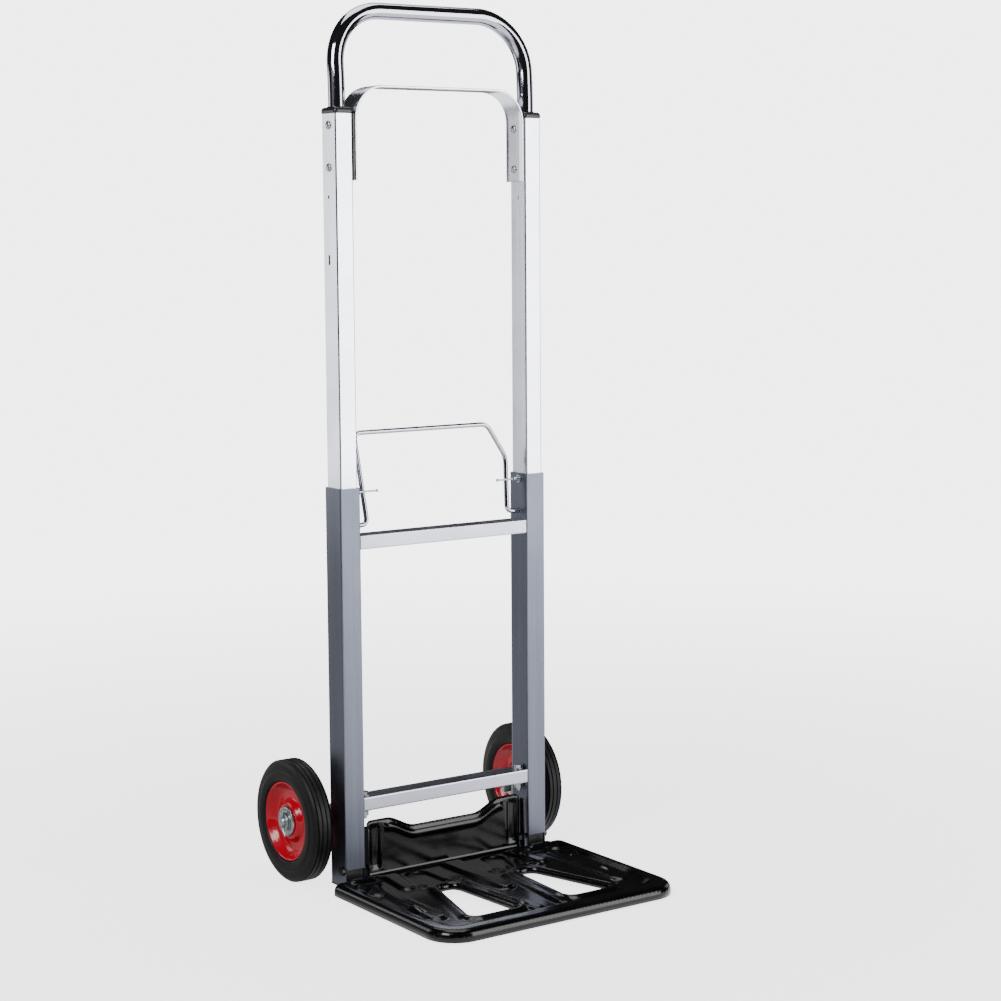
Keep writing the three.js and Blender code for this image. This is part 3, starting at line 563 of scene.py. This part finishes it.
# ---------- release bail ----------
lean = math.radians(BAIL_LEAN)
corners = [(124.9, 0), (104.7, 0), (109.2, 70), (84, 113), (-113.5, 113), (-104.7, 0), (-124.9, 0)]
bail = [(x, RAIL_FRONT + BAIL_BEHIND + h * math.sin(lean), BAIL_Z + h * math.cos(lean)) for x, h in corners]
piece("release_bail_skin", *sweep(rounded(bail, 9.0, 8), 3.0, 28), "chrome", "release_bail", "chrome",
      ["release_bail"], 60)


# ---------- toe plate ----------
# The sheet is drawn flat in (x, s): s is y on the plate, turns through the fold and goes on up the flange.
FOLD_RADIUS = 5.0
PAN_TOP = 10.5
FOLD_START = FLANGE_Y - FOLD_RADIUS
ARC = FOLD_RADIUS * math.pi / 2
FLANGE_S = FOLD_START + ARC - (PAN_TOP + FOLD_RADIUS)    # s minus z on the flange


def arc_points(cx, cy, r, a0, a1, n=10):
    return [(cx + r * math.cos(math.radians(a0 + (a1 - a0) * i / n)),
             cy + r * math.sin(math.radians(a0 + (a1 - a0) * i / n))) for i in range(n + 1)]


def flange_top(x):
    """Height of the flange's upper edge: horns at both ends and a dip between them."""
    t = min(max((abs(x) - 44) / 42, 0), 1)
    return FLANGE_DIP + (FLANGE_TOP - FLANGE_DIP) * t * t * (3 - 2 * t)


def plate_rim():
    """The rim of the plate from the left fold corner round the front to the right one."""
    h, r = TOE_HALF, 40.0
    left = [(-FLANGE_HALF - 2, TOE_REAR)] + arc_points(-h + 12, TOE_REAR - 12, 12, 90, 180)
    front = arc_points(-h + r, TOE_FRONT + r, r, 180, 270, 16)
    front += arc_points(h - r, TOE_FRONT + r, r, 270, 360, 16)
    right = arc_points(h - 12, TOE_REAR - 12, 12, 0, 90) + [(FLANGE_HALF + 2, TOE_REAR)]
    return left + front + right


def flange_outline():
    """Up one end of the flange, along its top and down the other, in (x, s)."""
    up = [(FLANGE_HALF, s) for s in (TOE_REAR + 3, FOLD_START + ARC, FLANGE_S + FLANGE_TOP - 7)]
    corner = [(x, s + FLANGE_S) for x, s in arc_points(FLANGE_HALF - 6, FLANGE_TOP - 6, 6, 0, 90, 6)]
    top = [(x, flange_top(x) + FLANGE_S) for x in np.linspace(FLANGE_HALF - 9, 0, 36)]
    half = up + corner + top
    return half + [(-x, s) for x, s in reversed(half[:-1])]


def cutout(side):
    """One wedge-shaped hole, wider at the front, with rounded corners."""
    points = [(46, CUTOUT_REAR), (71, CUTOUT_REAR), (105, CUTOUT_FRONT), (37, CUTOUT_FRONT)]
    closed = points + points[:2]
    line = []
    for before, here, after in zip(closed, closed[1:], closed[2:]):
        a, p, b = (Vector((*q, 0)) for q in (before, here, after))
        enter, leave = p + (a - p).normalized() * 12, p + (b - p).normalized() * 12
        for i in range(9):
            t = i / 8
            v = (1 - t) ** 2 * enter + 2 * t * (1 - t) * p + t * t * leave
            line.append((side * v.x, v.y))
    return line


def resample(line, spacing, closed=False):
    """A polyline's points again, at nearly even spacing."""
    pts = np.array(line + ([line[0]] if closed else []), float)
    seg = np.linalg.norm(np.diff(pts, axis=0), axis=1)
    along = np.concatenate([[0], np.cumsum(seg)])
    n = max(int(round(along[-1] / spacing)), 3)
    t = np.linspace(0, along[-1], n + 1)
    out = np.stack([np.interp(t, along, pts[:, k]) for k in (0, 1)], axis=1)
    return out[:-1] if closed else out


def distance(points, line, closed=False):
    """Distance from each point to a polyline."""
    a = np.array(line, float)
    b = np.roll(a, -1, axis=0) if closed else a[1:]
    a = a if closed else a[:-1]
    best = np.full(len(points), 1e9)
    for p, q in zip(a, b):
        d = q - p
        t = np.clip(((points - p) @ d) / max(d @ d, 1e-12), 0, 1)
        best = np.minimum(best, np.linalg.norm(points - (p + t[:, None] * d), axis=1))
    return best


def inside(points, polygon):
    """Which points lie inside a polygon, by counting the edges to their right."""
    x, y = points[:, 0], points[:, 1]
    poly = np.array(polygon, float)
    result = np.zeros(len(points), bool)
    for (x0, y0), (x1, y1) in zip(poly, np.roll(poly, -1, axis=0)):
        crosses = (y0 > y) != (y1 > y)
        with np.errstate(divide="ignore", invalid="ignore"):
            result ^= crosses & (x < (x1 - x0) * (y - y0) / (y1 - y0) + x0)
    return result


def step(v, low, high):
    """0 below low, 1 above high and a smooth rise between them."""
    t = np.clip((v - low) / (high - low), 0, 1)
    return t * t * (3 - 2 * t)


def capsule(points, a, b, r0, r1=None):
    """Distance outside a tapering rounded bar from a to b; negative inside."""
    a, b = np.array(a, float), np.array(b, float)
    r1 = r0 if r1 is None else r1
    t = np.clip(((points - a) @ (b - a)) / ((b - a) @ (b - a)), 0, 1)
    return np.linalg.norm(points - (a + t[:, None] * (b - a)), axis=1) - (r0 + (r1 - r0) * t)


RIM = plate_rim()
FLANGE = flange_outline()
CUTS = {side: cutout(side) for _, side in SIDES}


def rise(points):
    """How far the sheet's top surface stands above the pan, in millimetres."""
    x, s = points[:, 0], points[:, 1]
    ax = np.abs(x)
    q = s - RAIL_FRONT                       # distance behind the rails' front faces
    half = np.stack([ax, q], axis=1)
    d = distance(points, RIM)
    front = step(-q, 160, 215)
    band = 6.0 + 12.0 * front
    edge = np.where(d < 8, 9.0 * (np.sqrt(np.clip(1 - (1 - np.clip(d, 0, 8) / 8) ** 2, 0, 1)) - 1), 0.0)
    slope = 1 - step(d, band + 2, band + 16)
    h = 5.5 * slope + edge
    near = np.minimum(distance(points, CUTS[1], True), distance(points, CUTS[-1], True))
    # raised shoulders round both cut-outs, rolled down at the hole
    h += 4.0 * (1 - step(near, 7, 17)) * (1 - slope * 0.95)
    h -= 6.5 * (1 - np.sqrt(np.clip(1 - (1 - np.clip(near, 0, 6) / 6) ** 2, 0, 1)))
    # long ribs: two beside the middle, a short one on the middle line and one along each side
    h += 3.6 * (1 - step(capsule(half, (29, -88), (20, -218), 3, 6), 0, 6)) * (1 - slope)
    h += 4.6 * (1 - step(capsule(half, (0, 0), (0, -124), 11, 8), 0, 6))
    h += 3.2 * (1 - step(capsule(half, (131, -42), (136, -176), 3, 8), 0, 8)) * (1 - slope)
    # sunken panels in front of the fold and a raised one outboard of them
    h -= 3.0 * (1 - step(capsule(half, (58, -16), (52, -52), 12, 7), 0, 5)) * (1 - slope)
    h += 3.4 * (1 - step(capsule(half, (92, -8), (101, -60), 7, 5), 0, 8))
    # round dimples behind the cut-outs
    for cx, cq in ((31, -61), (83, -66)):
        r = np.hypot(ax - cx, q - cq)
        h += 1.4 * (1 - step(r, 7, 14)) - 1.8 * (1 - step(r, 2.5, 6.5))
    # small louvres near the sides, then crescents and a short rib at the rear corners
    louvre = np.maximum(np.abs(ax - 143) / 6.5, np.abs(q + 146) / 15)
    h += 2.6 * (1 - step(louvre, 0.70, 1.0)) * step(q, -164, -136)
    c = np.hypot(ax - 143, (q + 44) * 0.62)
    h += 3.4 * (1 - step(np.abs(c - 13), 1.0, 4.5)) * step(ax, 138, 146)
    h += 2.5 * (1 - step(capsule(half, (124, -10), (147, -10), 2.5), 0, 4.5))
    # a soft ceiling, so that the relief stays clear of the rails when the plate is folded
    over = np.tanh((h - RELIEF_KNEE) / RELIEF_SOFTNESS)
    h = np.where(h > RELIEF_KNEE, RELIEF_KNEE + RELIEF_ROOM * over, h)
    return h * (1 - step(s, FOLD_START - 9, FOLD_START - 1))


def swell(points):
    """How far the flange's face stands out towards the load, in millimetres."""
    x, s = points[:, 0], points[:, 1]
    z = s - FLANGE_S
    ax = np.abs(x)
    top = FLANGE_DIP + (FLANGE_TOP - FLANGE_DIP) * step(ax, 44, 86)
    bead = 1 - step(np.abs(z - (top - 11)), 0.5, 7.0)
    d = bead * 3.4 * (1 - step(ax, 84, 94))
    rolled = 1 - step(top - z, 0, 5)
    d -= 2.4 * rolled * rolled
    d -= 2.0 * (1 - step(np.abs(ax - 104), 4, 9)) * step(z, 16, 26) * step(FLANGE_TOP - 2 - z, 0, 10)
    return d * step(z, 10, 20)


def place(points):
    """From the flat sheet (x, s) to the bent and pressed one."""
    x, s = points[:, 0], points[:, 1]
    h = rise(points)
    turn = np.clip((s - FOLD_START) / FOLD_RADIUS, 0, math.pi / 2)
    on_plate, on_flange = s <= FOLD_START, s >= FOLD_START + ARC
    y = np.where(on_plate, s, FOLD_START + FOLD_RADIUS * np.sin(turn))
    z = np.where(on_plate, PAN_TOP + h, PAN_TOP + FOLD_RADIUS * (1 - np.cos(turn)))
    y = np.where(on_flange, FLANGE_Y - swell(points), y)
    z = np.where(on_flange, s - FLANGE_S, z)
    return np.stack([x, y, z], axis=1)


def offset_inwards(line, polygon, inset, closed=False):
    """Points of a line moved inwards by an inset, kept only where they are that far from the line."""
    pts = np.array(line, float)
    ahead = np.roll(pts, -1, axis=0) - np.roll(pts, 1, axis=0)
    if not closed:
        ahead[0], ahead[-1] = pts[1] - pts[0], pts[-1] - pts[-2]
    normal = np.stack([-ahead[:, 1], ahead[:, 0]], axis=1)
    normal /= np.linalg.norm(normal, axis=1)[:, None] + 1e-12
    result = []
    for sign in (1, -1):
        moved = pts + sign * inset * normal
        good = inside(moved, polygon) & (distance(moved, line, closed) > inset * 0.97)
        result.append(moved[good])
    return np.concatenate(result)


def toe_sheet():
    """The flat sheet's triangles, with closely spaced points along its edges and round its holes."""
    rim = resample(RIM, 3.0)
    flange = resample(FLANGE, 3.0)
    outline = np.concatenate([rim, flange])
    cuts = [resample(CUTS[side], 2.5, True) for _, side in SIDES]
    field = []
    for inset in (0.4, 1.0, 1.9, 3.1, 4.6, 6.4, 8.4):
        field.append(offset_inwards(rim, outline, inset))
    for inset in (1.2, 2.6, 4.5):
        field.append(offset_inwards(flange, outline, inset))
    for cut in cuts:
        for inset in (0.4, 1.0, 2.0, 3.4, 5.0):
            field.append(offset_inwards(cut, outline, inset, True))
    pitch = 2.0
    gx, gs = np.meshgrid(np.arange(-TOE_HALF, TOE_HALF, pitch), np.arange(TOE_FRONT, 160, pitch))
    grid = np.stack([gx.ravel(), gs.ravel()], axis=1)
    grid = grid + np.array([pitch / 4, pitch / 3])
    fold = np.stack(np.meshgrid(np.arange(-FLANGE_HALF + 2, FLANGE_HALF, pitch),
                                np.linspace(FOLD_START, FOLD_START + ARC, 7)), axis=-1).reshape(-1, 2)
    grid = grid[(grid[:, 1] < FOLD_START - 0.8) | (grid[:, 1] > FOLD_START + ARC + 0.8)]
    field += [grid, fold]
    pts = np.concatenate(field)
    keep = inside(pts, outline)
    for cut in cuts:
        keep &= ~inside(pts, cut)
        keep &= distance(pts, cut, True) > 0.35
    keep &= distance(pts, outline, True) > 0.35
    pts = pts[keep]
    loops = [outline] + cuts
    verts, edges, start = [], [], 0
    for loop in loops:
        verts += [Vector(p) for p in loop]
        n = len(loop)
        edges += [(start + i, start + (i + 1) % n) for i in range(n)]
        start += n
    verts += [Vector(p) for p in pts]
    v2, _, f2, *_ = delaunay_2d_cdt(verts, edges, [], 0, 1e-5)
    flat = np.array([tuple(v) for v in v2])
    centres = np.array([flat[list(f)].mean(0) for f in f2])
    good = inside(centres, outline)
    for cut in cuts:
        good &= ~inside(centres, cut)
    faces = [tuple(f) for f, ok in zip(f2, good) if ok]
    return flat, faces, outline, cuts, len(rim)


def toe_plate():
    """The pressed plate and its flange, with the rim turned down nearly to the floor."""
    flat, faces, outline, cuts, rim_count = toe_sheet()
    top = place(flat)
    verts = [tuple(v) for v in top]

    def skirt(line, floor, closed):
        """Turns an edge of the sheet straight down to a height."""
        ids = [int(np.argmin(np.hypot(flat[:, 0] - p[0], flat[:, 1] - p[1]))) for p in line]
        low = []
        for i in ids:
            x, y, _ = verts[i]
            low.append(len(verts))
            verts.append((x, y, floor))
        pairs = list(zip(range(len(ids)), range(1, len(ids))))
        if closed:
            pairs.append((len(ids) - 1, 0))
        for a, b in pairs:
            faces.append((ids[a], ids[b], low[b], low[a]))

    skirt(outline[:rim_count], SKIRT_FLOOR, False)
    for cut in cuts:
        skirt(cut, CUTOUT_LIP, True)
    obj = piece("toe_plate_skin", verts, faces, "enamel", "toe_plate", "black_enamel", ["toe_plate"], 75)
    up = sum(p.normal.z * p.area for p in obj.data.polygons)
    if up < 0:
        obj.data.flip_normals()
    m = obj.modifiers.new("sheet thickness", "SOLIDIFY")
    m.thickness = SHEET * MM
    m.offset = -1
    m.use_even_offset = True
    m.thickness_clamp = 1.0


toe_plate()


def cheek_mesh(side):
    """The flange's turned-in end beside the rail, which the hinge bolt passes through."""
    x0, x1 = side * 117.0, side * 119.4
    outline = [(RAIL_FRONT + 1.5, 9.0), (FLANGE_Y + 2.2, 9.0)]
    outline += arc_points(RAIL_FRONT + 6.1, FLANGE_TOP - 10.6, 5.4, 0, 180, 8)
    outline += [(RAIL_FRONT + 0.7, 14.0)]
    rings = [[(x, y, z) for y, z in outline] for x in (x0, x1)]
    return join_rings(rings)


for label, side in SIDES:
    cheek = piece(f"toe_cheek_{label}", *cheek_mesh(side), "enamel", "toe_plate", "black_enamel", (), 30)
    m = cheek.modifiers.new("eased edges", "BEVEL")
    m.width = 0.7 * MM
    m.segments = 3


# ---------- studio ----------
CAMERA_AT = (-1.5292, -2.2640, 0.8134)   # metres
CAMERA_TURNS = (34.917, 6.967, -0.39)    # yaw, pitch and roll in degrees
CAMERA_LENS = 80.55


def camera():
    yaw, pitch, roll = (math.radians(turn) for turn in CAMERA_TURNS)
    forward = Vector((math.sin(yaw) * math.cos(pitch), math.cos(yaw) * math.cos(pitch), -math.sin(pitch)))
    level = Vector((math.cos(yaw), -math.sin(yaw), 0))
    up = level.cross(forward)
    x = math.cos(roll) * level + math.sin(roll) * up
    y = -math.sin(roll) * level + math.cos(roll) * up
    data = bpy.data.cameras.new("camera")
    data.sensor_width = 36
    data.lens = CAMERA_LENS
    data.clip_end = 50
    obj = add_object("camera", data)
    rows = [(x[i], y[i], -forward[i], CAMERA_AT[i]) for i in range(3)]
    obj.matrix_world = Matrix((*rows, (0, 0, 0, 1)))
    bpy.context.scene.camera = obj


def soft_box(name, at, towards, width, height, watts):
    data = bpy.data.lights.new(name, "AREA")
    data.shape = "RECTANGLE"
    data.size, data.size_y, data.energy = width, height, watts
    obj = add_object(name, data)
    obj.location = at
    obj.rotation_euler = (Vector(towards) - Vector(at)).to_track_quat("-Z", "Y").to_euler()
    obj.visible_camera = False


BACKDROP = 4.6                           # radiance of the white surroundings that the camera sees
TENT_RADIUS, TENT_HEIGHT = 3.4, 3.3      # the dark tent that the metal reflects
FLOOR_RADIUS, FLOOR_GLOW = 3.3, 2.7      # the floor brightens outwards, from this to the backdrop's radiance


def world():
    """Even white surroundings; the tent keeps their light off the object."""
    w = bpy.data.worlds.new("studio")
    bpy.context.scene.world = w
    w.use_nodes = True
    w.node_tree.nodes["Background"].inputs["Color"].default_value = (0.985, 0.99, 1.0, 1)
    w.node_tree.nodes["Background"].inputs["Strength"].default_value = BACKDROP


def disc(name, radius, z, material):
    ring = [(radius * math.cos(a), radius * math.sin(a), z) for a in np.linspace(0, 2 * math.pi, 97)[:-1]]
    mesh = bpy.data.meshes.new(name)
    mesh.from_pydata(ring, [], [tuple(range(len(ring)))])
    mesh.materials.append(material)
    obj = add_object(name, mesh)
    return obj


def floor():
    """A pale glowing floor for the camera; it neither lights the object nor shows in its reflections."""
    s = Shader("pale_floor").set(Specular_IOR_Level=0.1, Emission_Color=(0.98, 0.985, 1, 1))
    cloud = s.noise(2.5, 3, 0.5)
    s.colour(s.mix(cloud, (0.42, 0.42, 0.425), (0.45, 0.45, 0.455)))
    s.rough(s.remap(cloud, 0.6, 0.75))
    far = s.node("ShaderNodeVectorMath", operation="LENGTH")
    s.link(s.coords, far.inputs[0])
    glow = s.node("ShaderNodeMapRange", interpolation_type="SMOOTHSTEP")
    glow.inputs["From Min"].default_value, glow.inputs["From Max"].default_value = 0.3, FLOOR_RADIUS * 0.9
    glow.inputs["To Min"].default_value, glow.inputs["To Max"].default_value = FLOOR_GLOW, BACKDROP
    s.link(far.outputs["Value"], glow.inputs["Value"])
    s.link(glow.outputs["Result"], s.bsdf.inputs["Emission Strength"])
    obj = disc("floor", FLOOR_RADIUS, 0, s.material)
    obj.visible_glossy = False
    obj.visible_diffuse = False


def glow_material(name, spots, dark):
    """Dark cloth with soft bright spots; each spot is (x, y, z, radius, strength)."""
    m = bpy.data.materials.new(name)
    m.use_nodes = True
    t = m.node_tree
    t.nodes.clear()
    coords = t.nodes.new("ShaderNodeTexCoord")
    total = None
    for x, y, z, radius, strength in spots:
        away = t.nodes.new("ShaderNodeVectorMath")
        away.operation = "DISTANCE"
        away.inputs[1].default_value = (x, y, z)
        t.links.new(coords.outputs["Object"], away.inputs[0])
        r = t.nodes.new("ShaderNodeMapRange")
        r.interpolation_type = "SMOOTHSTEP"
        r.inputs["From Min"].default_value, r.inputs["From Max"].default_value = radius, radius * 0.6
        r.inputs["To Min"].default_value, r.inputs["To Max"].default_value = dark, strength
        t.links.new(away.outputs["Value"], r.inputs["Value"])
        value = r.outputs["Result"]
        if total is not None:
            a = t.nodes.new("ShaderNodeMath")
            a.operation = "MAXIMUM"
            t.links.new(total, a.inputs[0])
            t.links.new(value, a.inputs[1])
            value = a.outputs[0]
        total = value
    glow = t.nodes.new("ShaderNodeEmission")
    t.links.new(total, glow.inputs["Strength"])
    out = t.nodes.new("ShaderNodeOutputMaterial")
    t.links.new(glow.outputs[0], out.inputs["Surface"])
    return m


def tent():
    """A dark tent, hidden from the camera; the object reflects it and gets a little light from it."""
    n = 96
    angles = np.linspace(0, 2 * math.pi, n + 1)[:-1]
    verts = [(TENT_RADIUS * math.cos(a), TENT_RADIUS * math.sin(a), z)
             for z in (-0.02, TENT_HEIGHT) for a in angles]
    faces = [(i, (i + 1) % n, n + (i + 1) % n, n + i) for i in range(n)]
    faces.append(tuple(range(2 * n - 1, n - 1, -1)))

    def wall(degrees, z, radius, strength):
        a = math.radians(degrees)
        return TENT_RADIUS * math.cos(a), TENT_RADIUS * math.sin(a), z, radius, strength

    lights = [wall(95, 1.1, 0.9, 1.0), wall(12, 1.1, 0.9, 1.2), wall(-173, 1.3, 0.9, 0.25)]
    mesh = bpy.data.meshes.new("tent")
    mesh.from_pydata(verts, [], faces)
    mesh.materials.append(glow_material("tent_cloth", lights, 0.025))
    cloth = add_object("tent", mesh)
    pools = [(1.0, -1.6, 0, 2.4, 2.2), (-1.1, 1.4, 0, 2.0, 0.60),
             (1.3, 1.7, 0, 2.2, 2.0), (-2.0, -0.9, 0, 1.7, 1.4)]
    under = disc("tent_floor", TENT_RADIUS, -0.01, glow_material("tent_floor", pools, 0.05))
    for obj in (cloth, under):
        obj.visible_camera = False


camera()
world()
floor()
tent()
soft_box("key", (1.42, -2.16, 1.0), (0, 0, 0.9), 1.15, 1.9, 46)
soft_box("side strip", (-1.02, 1.16, 0.70), (-0.14, 0.06, 0.70), 0.52, 0.80, 3.6)
soft_box("front left", (-2.3, -0.9, 2.0), (-0.1, 0.1, 0.2), 1.2, 1.4, 75)
soft_box("top", (0.2, 0.3, 3.1), (0, 0, 0.4), 1.8, 1.8, 40)
soft_box("back", (1.0, 2.2, 2.8), (0, 0, 0.4), 1.6, 0.8, 14)
